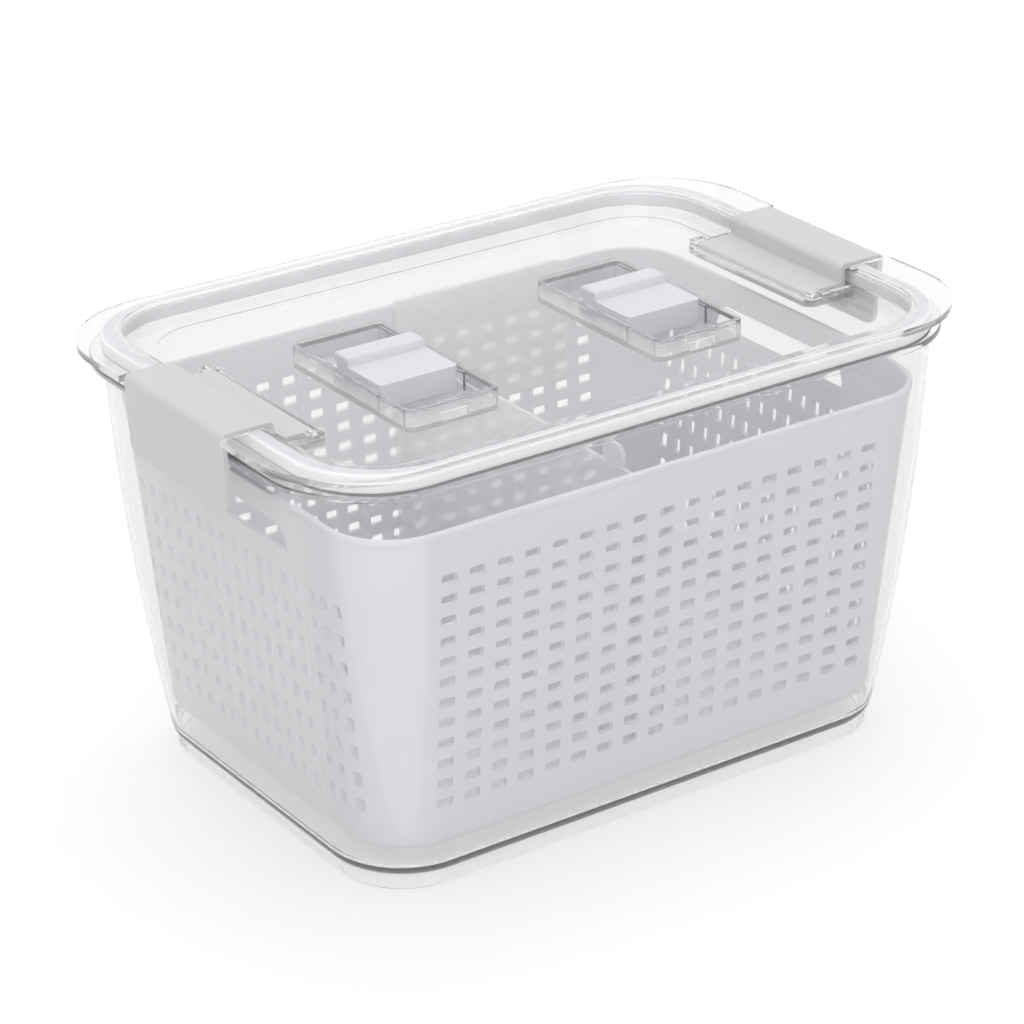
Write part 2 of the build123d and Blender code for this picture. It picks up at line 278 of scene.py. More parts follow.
basket_polypropylene = milky_plastic(
    "white_moulded_polypropylene", "#E8E8EC", roughness=(0.38, 0.5), grain_mm=0.8,
    grain_depth_mm=0.004, scatter=0.15, passage=0.0,
)
latch_polypropylene = milky_plastic(
    "frosted_moulded_polypropylene_latch", "#EEEFF0", roughness=(0.3, 0.42), grain_mm=0.8,
    grain_depth_mm=0.004, scatter=0.4, passage=0.2,
)
divider_polypropylene = milky_plastic(
    "frosted_moulded_polypropylene_divider", "#FDFDFE", roughness=(0.28, 0.4), grain_mm=0.8,
    grain_depth_mm=0.003, scatter=0.3, passage=0.0, clear=0.5,
)
slider_polypropylene = milky_plastic(
    "white_moulded_polypropylene_slider", "#ECEBF0", roughness=(0.32, 0.45), grain_mm=0.8,
    grain_depth_mm=0.003, scatter=0.15, passage=0.0,
)
seal_silicone = milky_plastic(
    "translucent_moulded_silicone", "#F8F8FC", roughness=(0.25, 0.35), grain_mm=0.6,
    grain_depth_mm=0.003, scatter=0.5, passage=0.0,
)
print("materials:", sorted(m.name for m in bpy.data.materials))

# %% [markdown]
# ## Putting a mesh into the scene
# Points are worked out in millimetres and go into the mesh in metres. A last step shades the piece
# smooth, gives it its material and its body, and hides the solid it stands for. Edges that turn sharply
# stay crisp.
# Where they are asked for, weighted normals keep large flat faces flat beside narrow rounded edges.

# %% Helpers for pieces
SHARP_ANGLE = math.radians(40)


def mesh_of(name, points, faces):
    """A mesh from points in millimetres, an array of rows x, y, z, and lists of corner numbers."""
    mesh = bpy.data.meshes.new(name)
    mesh.from_pydata((points.reshape(-1, 3) * MM).tolist(), [], faces)
    mesh.validate()
    return mesh


def place_piece(name, mesh, body, node, material, weighted=True):
    """Smooth shading with crisp edges, then the body it rides on; the solid it stands for is hidden."""
    mesh.materials.clear()
    mesh.materials.append(material)
    mesh.polygons.foreach_set("use_smooth", np.ones(len(mesh.polygons), bool))
    mesh.set_sharp_from_angle(angle=SHARP_ANGLE)
    piece = bpy.data.objects.new(name, mesh)
    bpy.context.scene.collection.objects.link(piece)
    if weighted:
        flat = piece.modifiers.new("even_faces", "WEIGHTED_NORMAL")
        flat.keep_sharp = True
    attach(piece, body)
    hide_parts(node)
    triangles = sum(len(p.vertices) - 2 for p in mesh.polygons)
    print(f"{name}: {len(mesh.vertices)} points, {triangles} triangles")
    return piece


# %% [markdown]
# ## Lofted shells
# The box and the seal are rounded rectangles carried up a profile. A profile row holds half length,
# half width, corner radius and height. Where two runs of the profile meet, a small curve rounds the
# corner, so every edge catches a thin line of light as a moulded edge does.

# %% Rings and rounded profiles
ARC_STEPS = 14
CURVE_REACH_SHARE = 0.45
SAME_PLACE_MM = 1e-6


def rings(rows):
    """Each row's rounded rectangle: a corner's centre plus its radius times a unit arc."""
    quarter = np.linspace(0, math.pi / 2, ARC_STEPS + 1)
    turn = (np.arange(4)[:, None] * math.pi / 2 + quarter).ravel()
    sign_x = np.repeat([1, -1, -1, 1], ARC_STEPS + 1)
    sign_y = np.repeat([1, 1, -1, -1], ARC_STEPS + 1)
    length, width, radius, height = (column[:, None] for column in np.asarray(rows, float).T)
    x = sign_x * (length - radius) + np.cos(turn) * radius
    y = sign_y * (width - radius) + np.sin(turn) * radius
    return np.stack([x, y, height + 0 * x], axis=-1)


def ring_faces(row_count, column_count):
    """Quads between neighbouring rings, each ring closed on itself, seen from outside."""
    row, column = np.meshgrid(np.arange(row_count - 1), np.arange(column_count), indexing="ij")
    here = row * column_count + column
    beside = row * column_count + (column + 1) % column_count
    quads = np.stack([here, beside, beside + column_count, here + column_count], axis=-1)
    return quads.reshape(-1, 4)


def rounded(rows, radii, steps=4):
    """Each inner corner of a profile becomes a curve from a point before it to a point behind it:
    (1 - t)^2 times the first, 2 t (1 - t) times the corner and t^2 times the last. A radius here is
    how far from the corner the curve starts, at most a set share of the shorter run beside it."""
    rows = np.asarray(rows, float)
    middle, before, after = rows[1:-1], rows[:-2] - rows[1:-1], rows[2:] - rows[1:-1]
    reach_before = np.linalg.norm(before[:, [0, 3]], axis=1)
    reach_after = np.linalg.norm(after[:, [0, 3]], axis=1)
    cut = np.minimum(np.asarray(radii, float), CURVE_REACH_SHARE * np.minimum(reach_before, reach_after))
    first = middle + before * (cut / reach_before)[:, None]
    last = middle + after * (cut / reach_after)[:, None]
    t = np.linspace(0, 1, steps + 1)[None, :, None]
    curves = (1 - t) ** 2 * first[:, None] + 2 * t * (1 - t) * middle[:, None] + t**2 * last[:, None]
    path = np.concatenate([rows[:1], curves.reshape(-1, 4), rows[-1:]])
    fresh = np.linalg.norm(np.diff(path, axis=0), axis=1) > SAME_PLACE_MM
    return path[np.concatenate([[True], fresh])]


def closed_loft(rows):
    """Rings carried up a profile, with a flat face across the first and the last ring."""
    points = rings(rows)
    row_count, column_count = points.shape[:2]
    faces = ring_faces(row_count, column_count).tolist()
    faces.append(list(range(column_count))[::-1])
    faces.append(list(range((row_count - 1) * column_count, row_count * column_count)))
    return points, faces


# %% [markdown]
# ## Outer box
# One moulding: a foot ring, a wall that leans out and swells a little, and a lip at the rim. The wall's
# outline is a straight lean plus a swell that is nothing at foot and rim and full half way up. The
# profile runs from under the floor, round the foot, up outside, over the lip and down inside.

# %% Outer box
FOOT_TOP = 8.1
RIM = 160.0
WALL_LOW = np.array([118.0, 82.7, 30.0])
WALL_TOP = np.array([133.0, 93.3, 33.0])
WALL_SWELL = np.array([2.4, 2.0, 0.0])
WALL = 2.0
FLOOR = 2.4
FLOOR_TOP = 8.8
FOOT_LOW = np.array([115.5, 80.3, 26.4])
FOOT_STEP = 1.0
FOOT_WALL = 2.2
LIP = np.array([140.0, 94.5, 38.5])
LIP_THICKNESS = 2.2
WALL_ROWS = 24
FLOOR_FACE_INSET = 14.0
HOLLOW_FACE_INSET = 10.0
IN_PLAN = np.array([1.0, 1.0, 1.0, 0.0])
# In the profile's order: the hollow's edge, the foot's two lower edges, its top and the wall's start.
FOOT_RADII = (1.5, 0.6, 0.8, 0.25, 0.5)
# The wall under the lip, the lip's lower and upper edge, and the rim's inner edge.
LIP_RADII = (0.6, 0.6, 0.9, 0.5)
FLOOR_RADIUS = 3.0


def wall_rows(heights, inset=0.0):
    """Half length, half width, corner radius and height of the wall, drawn in by an inset."""
    share = ((np.asarray(heights, float) - FOOT_TOP) / (RIM - FOOT_TOP))[:, None]
    outline = WALL_LOW + (WALL_TOP - WALL_LOW) * share + WALL_SWELL * 4 * share * (1 - share)
    return np.column_stack([outline - inset, heights])


foot_top_row = wall_rows([FOOT_TOP], FOOT_STEP)[0]
hollow_row = np.append(foot_top_row[:3] - FOOT_WALL, FLOOR_TOP - FLOOR)
lip_under = RIM - LIP_THICKNESS
outside = wall_rows(np.linspace(FOOT_TOP, lip_under, WALL_ROWS))
inside = wall_rows(np.linspace(RIM, FLOOR_TOP, WALL_ROWS), WALL)
box_foot_rows = [
    hollow_row - HOLLOW_FACE_INSET * IN_PLAN,
    hollow_row,
    np.append(FOOT_LOW - FOOT_WALL, 0.0),
    np.append(FOOT_LOW, 0.0),
    foot_top_row,
]
box_profile = np.vstack([
    *box_foot_rows,
    outside,
    np.append(LIP, lip_under),
    np.append(LIP, RIM),
    inside,
    inside[-1] - FLOOR_FACE_INSET * IN_PLAN,
])
# The first and the last row aren't corners, so a row's radius stands one place before the row.
box_radii = np.zeros(len(box_profile) - 2)
wall_end = len(box_foot_rows) + WALL_ROWS - 1
box_radii[:len(FOOT_RADII)] = FOOT_RADII
box_radii[wall_end - 1:wall_end - 1 + len(LIP_RADII)] = LIP_RADII
box_radii[-1] = FLOOR_RADIUS
box_points, box_faces = closed_loft(rounded(box_profile, box_radii))
place_piece(
    "outer_box_clear", mesh_of("outer_box_clear", box_points, box_faces),
    "box", "outer_box", box_styrene,
)

# %% [markdown]
# ## Seal
# A soft ring in the gap between the lid's tub and the box's rim. It is the same loft, but its profile
# closes on itself, so there is no flat face at either end.

# %% Seal
seal_low, seal_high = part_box("lid_seal")
SEAL_CORNER = 33.5
SEAL_RADII = (0.5, 1.1, 1.1, 0.5)
TUB_OUTSIDE = np.array([128.6, 89.9, 32.05])
seal_outline = np.array([seal_high.x / MM, seal_high.y / MM, SEAL_CORNER])
seal_z = (seal_low.z / MM, seal_high.z / MM)
seal_middle_height = sum(seal_z) / 2
seal_profile = [
    np.append(TUB_OUTSIDE, seal_middle_height),
    np.append(TUB_OUTSIDE, seal_z[0]),
    np.append(seal_outline, seal_z[0]),
    np.append(seal_outline, seal_z[1]),
    np.append(TUB_OUTSIDE, seal_z[1]),
    np.append(TUB_OUTSIDE, seal_middle_height),
]
seal_points = rings(rounded(seal_profile, SEAL_RADII))[:-1]
seal_rows, seal_columns = seal_points.shape[:2]
seal_faces = ring_faces(seal_rows + 1, seal_columns) % (seal_rows * seal_columns)
place_piece(
    "lid_seal_soft", mesh_of("lid_seal_soft", seal_points, seal_faces.tolist()),
    "lid", "lid_seal", seal_silicone,
)

# %% [markdown]
# ## Basket
# Four leaning walls with 680 rounded holes and two handle slots. Cutting holes out of a finished wall
# is slow and leaves ragged faces. Here the wall is a grid whose lines pass along the edges of every
# hole: the faces inside a hole are left out, and the points at its corners slide on to the arc. The
# same grid is used twice, once for the outer and once for the inner skin, and narrow quads join them
# through each hole.

# %% Basket sizes
basket_low, basket_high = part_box("basket")
BASKET_BOTTOM = 16.5
BASKET_TOP = basket_high.z / MM
BASKET_LOW = np.array([113.8, 81.1])
BASKET_HIGH = np.array([123.0, 89.6])
BASKET_CORNER = 24.5
BASKET_WALL = 1.8
BASKET_LIP = 0.5
BASKET_LIP_HEIGHT = 3.0
# Height above the lip's lower edge and offset from the wall, row by row.
BASKET_LIP_STEP = np.array([[0.0, 0.0], [0.15, 0.4], [0.4, BASKET_LIP]])
BASKET_EDGE = 0.7
BASE_OUTER_RADIUS = 3.0
BASE_INNER_RADIUS = 1.4
HOLE_CORNER = 0.7
# Each row of holes: its middle, the pitch, how many and the size of one.
SIDE_HOLES = {"across": (0.0, 11.35, 17, 6.3), "up": (78.21, 8.02, 12, 3.6)}
END_HOLES = {"across": (0.0, 8.2, 17, 3.8), "up": (70.81, 10.86, 8, 5.8)}
HANDLE_HALF = 38.0
HANDLE_LEVELS = (BASKET_TOP - 20.0, BASKET_TOP - 10.2)
HANDLE_TOP_RADIUS = 8.0
HANDLE_LOW_RADIUS = 0.8
SIDE_REACH = 96.5
END_REACH = 69.7
CORNER_COLUMNS = 12
LINE_DECIMALS = 3
HANDLE_ARC_DEGREES = [0, 12, 24, 36, 45]


def hole_lines(middle, pitch, count, size):
    """Grid lines of a row of holes: each hole's two edges and the ends of its corner arcs."""
    centres = middle + pitch * (np.arange(count) - (count - 1) / 2)
    edges = np.array([-size / 2, HOLE_CORNER - size / 2, size / 2 - HOLE_CORNER, size / 2])
    return (centres[:, None] + edges).ravel()


def merged_lines(*groups):
    """All lines in order, each once, rounded to a thousandth of a millimetre."""
    return np.unique(np.round(np.concatenate(groups), LINE_DECIMALS))


# A line at the radius times an angle's tangent holds the point that slides to that angle on the arc.
arc_share = np.tan(np.radians(HANDLE_ARC_DEGREES))
handle_across = HANDLE_HALF - HANDLE_TOP_RADIUS * (1 - arc_share)
handle_up = HANDLE_LEVELS[1] - HANDLE_TOP_RADIUS * (1 - arc_share)
side_lines = merged_lines(hole_lines(*SIDE_HOLES["across"]), [-SIDE_REACH, SIDE_REACH])
end_lines = merged_lines(
    hole_lines(*END_HOLES["across"]),
    [-END_REACH, END_REACH, -HANDLE_HALF + HANDLE_LOW_RADIUS, HANDLE_HALF - HANDLE_LOW_RADIUS],
    handle_across,
    -handle_across,
)
up_lines = merged_lines(
    hole_lines(*SIDE_HOLES["up"]),
    hole_lines(*END_HOLES["up"]),
    [HANDLE_LEVELS[0], HANDLE_LEVELS[0] + HANDLE_LOW_RADIUS],
    handle_up,
)
print("grid lines:", len(side_lines), "along,", len(end_lines), "across,", len(up_lines), "up")

# %% Basket holes


def local_place(value, middle, pitch, count, size):
    """Distance from the nearest hole's centre, and where that centre is."""
    number = np.round((value - middle) / pitch + (count - 1) / 2)
    centre = middle + pitch * (np.clip(number, 0, count - 1) - (count - 1) / 2)
    return value - centre, centre


def in_hole(across, up, holes):
    """True inside the plain rectangle of any hole of a grid."""
    inside = True
    for value, key in ((across, "across"), (up, "up")):
        distance, _ = local_place(value, *holes[key])
        inside = inside & (np.abs(distance) < holes[key][3] / 2)
    return inside


def on_arc(across, up, half_across, half_up, radius):
    """A point in a rectangle's corner slides straight away from the arc's centre on to the arc."""
    past_across = np.abs(across) - (half_across - radius)
    past_up = np.abs(up) - (half_up - radius)
    slack = 1e-3
    within = (np.abs(across) < half_across + slack) & (np.abs(up) < half_up + slack)
    corner = within & (past_across > -slack) & (past_up > -slack)
    length = np.hypot(past_across, past_up)
    scale = np.where(corner & (length > slack), radius / np.maximum(length, slack), 1.0)
    new_across = np.sign(across) * (half_across - radius + past_across * scale)
    new_up = np.sign(up) * (half_up - radius + past_up * scale)
    return np.where(corner, new_across, across), np.where(corner, new_up, up)


def slide_to_holes(across, up, holes):
    """Corner points of every hole of a grid, moved on to their arcs."""
    local_across, centre_across = local_place(across, *holes["across"])
    local_up, centre_up = local_place(up, *holes["up"])
    local_across, local_up = on_arc(
        local_across, local_up, holes["across"][3] / 2, holes["up"][3] / 2, HOLE_CORNER
    )
    return centre_across + local_across, centre_up + local_up


def in_handle(across, up):
    """True inside the plain rectangle of the handle slot."""
    return (np.abs(across) < HANDLE_HALF) & (up > HANDLE_LEVELS[0]) & (up < HANDLE_LEVELS[1])


def slide_to_handle(across, up):
    """The slot's upper corners are wide arcs and its lower corners are tight ones."""
    middle = sum(HANDLE_LEVELS) / 2
    half = (HANDLE_LEVELS[1] - HANDLE_LEVELS[0]) / 2
    # A wide arc is longer than half the slot is high, so each arc is worked out from its own edge.
    high_across, high_up = on_arc(
        across, up - (HANDLE_LEVELS[1] - HANDLE_TOP_RADIUS), HANDLE_HALF, HANDLE_TOP_RADIUS,
        HANDLE_TOP_RADIUS,
    )
    upper = up >= HANDLE_LEVELS[1] - HANDLE_TOP_RADIUS
    low_across, low_up = on_arc(across, up - middle, HANDLE_HALF, half, HANDLE_LOW_RADIUS)
    new_across = np.where(upper, high_across, low_across)
    new_up = np.where(upper, high_up + HANDLE_LEVELS[1] - HANDLE_TOP_RADIUS, low_up + middle)
    return new_across, new_up


# %% [markdown]
# The basket's skin is one list of rows: the underside's edge, up the outer skin, round the rim and down
# the inner skin to the floor. Each row has a height and an offset from the outer face. The columns go
# once round: a wall's grid, then a corner, four times.

# %% Basket rows


def quarter_arc(start, stop, steps=4):
    """Angles of an arc in equal steps, with both ends, from degrees to radians."""
    return np.radians(np.linspace(start, stop, steps + 1))


under_arc = quarter_arc(-90, 0)
rim_outer_arc = quarter_arc(0, 90)
rim_inner_arc = quarter_arc(90, 180)
floor_arc = quarter_arc(0, -90)
floor_level = BASKET_BOTTOM + BASKET_WALL
edge_level = BASKET_TOP - BASKET_EDGE
lip_level = BASKET_TOP - BASKET_LIP_HEIGHT
skin_rows = np.vstack([
    np.column_stack([
        BASKET_BOTTOM + BASE_OUTER_RADIUS * (1 + np.sin(under_arc)),
        BASE_OUTER_RADIUS * (np.cos(under_arc) - 1),
    ]),
    np.column_stack([up_lines, 0 * up_lines]),
    BASKET_LIP_STEP + [lip_level, 0.0],
    np.column_stack([
        edge_level + BASKET_EDGE * np.sin(rim_outer_arc),
        BASKET_LIP - BASKET_EDGE * (1 - np.cos(rim_outer_arc)),
    ]),
    np.column_stack([
        edge_level + BASKET_EDGE * np.sin(rim_inner_arc),
        BASKET_EDGE * (1 + np.cos(rim_inner_arc)) - BASKET_WALL,
    ]),
    np.column_stack([up_lines, 0 * up_lines - BASKET_WALL])[::-1],
    np.column_stack([
        floor_level + BASE_INNER_RADIUS * (1 + np.sin(floor_arc)),
        BASE_INNER_RADIUS * (np.cos(floor_arc) - 1) - BASKET_WALL,
    ]),
])
first_outer = len(under_arc)
first_inner = len(skin_rows) - len(floor_arc) - len(up_lines)
print("basket rows:", len(skin_rows), "outer from", first_outer, "inner from", first_inner)

# %% Basket walls and corners


def basket_half(up, offset):
    """Half length and half width of the basket's outer face at a height, plus an offset."""
    share = (up - BASKET_BOTTOM) / (BASKET_TOP - BASKET_BOTTOM)
    return [low + (high - low) * share + offset for low, high in zip(BASKET_LOW, BASKET_HIGH)]


def wall_place(along, half_along, half_out, radius):
    """Distance outwards of a wall's face: flat, then falling away on the corner's circle."""
    past = np.maximum(np.abs(along) - (half_along - radius), 0)
    return half_out - radius + np.sqrt(radius**2 - past**2)


def wall_grid(lines, is_side):
    """Along and outward places of one wall's points, with every hole's corners on their arcs."""
    across, up = np.meshgrid(lines, skin_rows[:, 0])
    offset = skin_rows[:, 1][:, None]
    if is_side:
        across, up = slide_to_holes(across, up, SIDE_HOLES)
    else:
        across, up = slide_to_holes(across, up, END_HOLES)
        across, up = slide_to_handle(across, up)
    half_length, half_width = basket_half(up, offset)
    halves = (half_length, half_width) if is_side else (half_width, half_length)
    return across, wall_place(across, *halves, BASKET_CORNER + offset), up


def corner_grid():
    """First-quadrant points from the side wall's last line round to the end wall's last line, evenly
    spaced by the distance c along the outline: straight, then round the circle, then straight."""
    up, offset = skin_rows[:, :1], skin_rows[:, 1:]
    radius = BASKET_CORNER + offset
    half_length, half_width = basket_half(up, offset)
    flat_length, flat_width = half_length - radius, half_width - radius
    turn = radius * math.pi / 2

    def from_tangent(reach, flat):
        past = np.clip((reach - flat) / radius, 0, 1)
        return np.where(reach < flat, reach - flat, radius * np.arcsin(past))

    start = from_tangent(SIDE_REACH, flat_length)
    stop = turn - from_tangent(END_REACH, flat_width)
    c = start + (stop - start) * np.linspace(0, 1, CORNER_COLUMNS + 1)[1:-1]
    angle = np.clip(c, 0, turn) / radius
    x = flat_length + radius * np.sin(angle) + np.minimum(c, 0)
    y = flat_width + radius * np.cos(angle) - np.maximum(c - turn, 0)
    return x, y, up + 0 * x


# %% Basket skin


def basket_skin():
    """The columns in order round the basket, and for each cell its place along a wall."""
    side_across, side_out, side_up = wall_grid(side_lines, True)
    end_across, end_out, end_up = wall_grid(end_lines, False)
    corner_x, corner_y, corner_up = corner_grid()
    blocks = [
        (side_across, -side_out, side_up),
        (corner_x, -corner_y, corner_up),
        (end_out, end_across, end_up),
        (corner_x[:, ::-1], corner_y[:, ::-1], corner_up),
        (-side_across, side_out, side_up),
        (-corner_x, corner_y, corner_up),
        (-end_out, -end_across, end_up),
        (-corner_x[:, ::-1], -corner_y[:, ::-1], corner_up),
    ]
    points = np.concatenate([np.stack(block, axis=-1) for block in blocks], axis=1)
    nowhere = 1e6
    side_cells = np.append((side_lines[1:] + side_lines[:-1]) / 2, nowhere)
    end_cells = np.append((end_lines[1:] + end_lines[:-1]) / 2, nowhere)
    corner_cells = np.full(corner_x.shape[1], nowhere)
    no_side = np.full(len(side_cells), nowhere)
    no_end = np.full(len(end_cells), nowhere)
    half_side = np.concatenate([side_cells, corner_cells, no_end, corner_cells])
    half_end = np.concatenate([no_side, corner_cells, end_cells, corner_cells])
    return points, np.tile(half_side, 2), np.tile(half_end, 2)


skin_points, side_cells, end_cells = basket_skin()
row_count, column_count = skin_points.shape[:2]
row_middle = (skin_rows[1:, 0] + skin_rows[:-1, 0])[:, None] / 2
open_cells = (
    in_hole(side_cells, row_middle, SIDE_HOLES)
    | in_hole(end_cells, row_middle, END_HOLES)
    | in_handle(end_cells, row_middle)
)
print("basket rows, columns:", row_count, column_count, "open cells:", int(open_cells.sum()))

# %% Basket hole walls


def hole_walls():
    """Quads that join the outer and the inner skin wherever an open cell meets a closed one."""
    lines = len(up_lines)
    outer = (first_outer + np.arange(lines))[:, None] * column_count + np.arange(column_count)
    inner = (first_inner + lines - 1 - np.arange(lines))[:, None] * column_count
    inner = inner + np.arange(column_count)
    cells = open_cells[first_outer:first_outer + lines - 1]
    quads = []

    def join(where, shift, turned):
        """One quad for each marked edge; the edge runs from a point to the one at the shift."""
        row, column = np.nonzero(where)
        far_row, far_column = row + shift[0], (column + shift[1]) % column_count
        quad = np.stack(
            [outer[row, column], outer[far_row, far_column], inner[far_row, far_column],
             inner[row, column]],
            axis=-1,
        )
        quads.append(quad[:, ::-1] if turned else quad)

    below = np.vstack([np.zeros((1, column_count), bool), cells])
    above = np.vstack([cells, np.zeros((1, column_count), bool)])
    join(above & ~below, (0, 1), False)
    join(below & ~above, (0, 1), True)
    left = np.roll(cells, 1, axis=1)
    join(left & ~cells, (1, 0), False)
    join(cells & ~left, (1, 0), True)
    return np.concatenate(quads)


skin_faces = ring_faces(row_count, column_count)[~open_cells.ravel()]
wall_quads = hole_walls()
print("basket faces:", len(skin_faces), "skin and", len(wall_quads), "in holes")

# %% [markdown]
# The base is flat, with square draining holes and four feet. A flat face with many holes is best filled
# from its outlines: the fill takes the edge of the base, the edge of every hole and of every foot, and
# covers what lies between them.

# %% Basket base
BASE_PITCH = 13.0
BASE_HOLE_COUNT = (13, 9)
BASE_HOLE_HALF = 3.0
BASE_HOLE_RADIUS = 0.8
FOOT_PLACE = np.array([89.3, 56.6])
FOOT_RADIUS = 6.0
FOOT_EDGE = 0.8
FOOT_BOTTOM = basket_low.z / MM
FOOT_STEPS = 32


def base_hole_loops():
    """Rounded squares on a grid: rows of points, one loop a hole, anticlockwise seen from above."""
    x = (np.arange(BASE_HOLE_COUNT[0]) - (BASE_HOLE_COUNT[0] - 1) / 2) * BASE_PITCH
    y = (np.arange(BASE_HOLE_COUNT[1]) - (BASE_HOLE_COUNT[1] - 1) / 2) * BASE_PITCH
    centre = np.stack(np.meshgrid(x, y), axis=-1).reshape(-1, 1, 2)
    turn = np.radians(np.array([0, 45, 90, 90, 135, 180, 180, 225, 270, 270, 315, 360]))
    sign = np.repeat([[1, 1], [-1, 1], [-1, -1], [1, -1]], 3, axis=0)
    outline = sign * (BASE_HOLE_HALF - BASE_HOLE_RADIUS)
    outline = outline + BASE_HOLE_RADIUS * np.stack([np.cos(turn), np.sin(turn)], axis=-1)
    return centre + outline


def foot_rows():
    """Radius and height of a foot, from the base down and round its lower edge."""
    arc = quarter_arc(0, 90, 3)
    radius = FOOT_RADIUS - FOOT_EDGE * (1 - np.cos(arc))
    height = FOOT_BOTTOM + FOOT_EDGE * (1 - np.sin(arc))
    return np.vstack([[FOOT_RADIUS, BASKET_BOTTOM], np.column_stack([radius, height])])


print("base holes:", len(base_hole_loops()))

# %% Filling the base


def add_loops(bm, loops, height):
    """Points of many loops at one height, as rows of new points."""
    return [[bm.verts.new((x * MM, y * MM, height * MM)) for x, y in loop] for loop in loops]


def loop_edges(bm, loop):
    """The edges of a closed loop of points."""
    pairs = zip(loop, loop[1:] + loop[:1])
    return [bm.edges.get(pair) or bm.edges.new(pair) for pair in pairs]


def close_base(mesh):
    """Fills the base above and below, and adds the holes' walls and the feet."""
    bm = bmesh.new()
    bm.from_mesh(mesh)
    bm.verts.ensure_lookup_table()
    low_ring = bm.verts[:column_count]
    high_ring = bm.verts[(row_count - 1) * column_count:row_count * column_count]
    holes = base_hole_loops()
    low_holes = add_loops(bm, holes, BASKET_BOTTOM)
    high_holes = add_loops(bm, holes, floor_level)
    for low_loop, high_loop in zip(low_holes, high_holes):
        for i, point in enumerate(low_loop):
            beside = (i + 1) % len(low_loop)
            bm.faces.new((point, high_loop[i], high_loop[beside], low_loop[beside]))
    turn = np.linspace(0, 2 * math.pi, FOOT_STEPS, endpoint=False)
    circle = np.stack([np.cos(turn), np.sin(turn)], axis=-1)
    foot_tops = []
    for place in np.array([[1, 1], [-1, 1], [-1, -1], [1, -1]]) * FOOT_PLACE:
        rows = [add_loops(bm, [place + circle * r], z)[0] for r, z in foot_rows()]
        foot_tops.append(rows[0])
        for upper, lower in zip(rows, rows[1:]):
            for i, point in enumerate(upper):
                beside = (i + 1) % FOOT_STEPS
                bm.faces.new((point, lower[i], lower[beside], upper[beside]))
        bm.faces.new(rows[-1][::-1])
    for ring, loops in ((low_ring, low_holes + foot_tops), (high_ring, high_holes)):
        edges = loop_edges(bm, ring)
        for loop in loops:
            edges += loop_edges(bm, loop)
        bmesh.ops.triangle_fill(bm, use_beauty=True, edges=edges)
    loose = [v for v in bm.verts if not v.link_faces]
    bmesh.ops.delete(bm, geom=loose, context="VERTS")
    bmesh.ops.recalc_face_normals(bm, faces=bm.faces)
    open_edges = sum(1 for e in bm.edges if len(e.link_faces) != 2)
    print("basket edges without two faces:", open_edges)
    bm.to_mesh(mesh)
    bm.free()


basket_mesh = bpy.data.meshes.new("basket_white")
basket_mesh.from_pydata(
    (skin_points.reshape(-1, 3) * MM).tolist(), [], np.vstack([skin_faces, wall_quads]).tolist()
)
close_base(basket_mesh)
place_piece(
    "basket_white", basket_mesh, "basket", "basket", basket_polypropylene,
    weighted=False,
)

# %% [markdown]
# ## Lid, divider, sliders and latches
# The solids already describe these well. A solid's mesh comes as loose triangles, so its points are
# merged, flat faces are joined again, and a bevel rounds every edge that turns more than the bevel's
# angle, because a moulding has no knife edges.

# %% Rounded copies of solids
MERGE_DISTANCE = 1e-6
FLAT_ANGLE = math.radians(0.5)
BEVEL_ANGLE = math.radians(35)
BEVEL_STEPS = 3
LID_EDGE = 0.35
DIVIDER_EDGE = 0.4
SLIDER_EDGE = 0.8
LATCH_EDGE = 0.45


def merged_copy(node, name):
    """A solid's mesh with its loose triangles joined and its flat faces whole again."""
    bm = bmesh.new()
    bm.from_mesh(nodes[node].data)
    bmesh.ops.remove_doubles(bm, verts=bm.verts, dist=MERGE_DISTANCE)
    bmesh.ops.dissolve_limit(bm, angle_limit=FLAT_ANGLE, verts=bm.verts, edges=bm.edges)
    mesh = bpy.data.meshes.new(name)
    bm.to_mesh(mesh)
    bm.free()
    # Stored normals belong to the loose triangles and would shade the joined faces wrongly.
    stored = mesh.attributes.get("custom_normal")
    if stored:
        mesh.attributes.remove(stored)
    return mesh


def rounded_copy(name, node, body, material, edge_mm):
    """The merged copy with its edges rounded by a bevel of the given width."""
    mesh = merged_copy(node, name)
    piece = place_piece(name, mesh, body, node, material, weighted=False)
    bevel = piece.modifiers.new("rounded_edges", "BEVEL")
    bevel.width = edge_mm * MM
    bevel.segments = BEVEL_STEPS
    bevel.limit_method = "ANGLE"
    bevel.angle_limit = BEVEL_ANGLE
    bevel.use_clamp_overlap = True
    flat = piece.modifiers.new("even_faces", "WEIGHTED_NORMAL")
    flat.keep_sharp = False


rounded_copy("lid_clear", "lid", "lid", lid_styrene, LID_EDGE)
rounded_copy(
    "divider_frosted", "divider", "divider", divider_polypropylene, DIVIDER_EDGE
)
for side in ("left", "right"):
    rounded_copy(
        f"vent_slider_{side}_white", f"vent_slider_{side}", f"vent_slider_{side}",
        slider_polypropylene, SLIDER_EDGE,
    )
    rounded_copy(
        f"latch_{side}_frosted", f"latch_{side}", f"latch_{side}",
        latch_polypropylene, LATCH_EDGE,
    )

# %% [markdown]
# ## Floor, backdrop and light
# A studio white. The world is plain white to the camera, and softer to the rays that light the object,
# which also has two soft lamps. The floor is pale paper. The camera, and rays that have gone through
# plastic or off it, meet a slightly darker paper with a glow of its own instead: together they read
# white and still hold the shadow. Clear plastic only shows where it bends a view of something darker,
# so for such bent rays the world greys overhead.

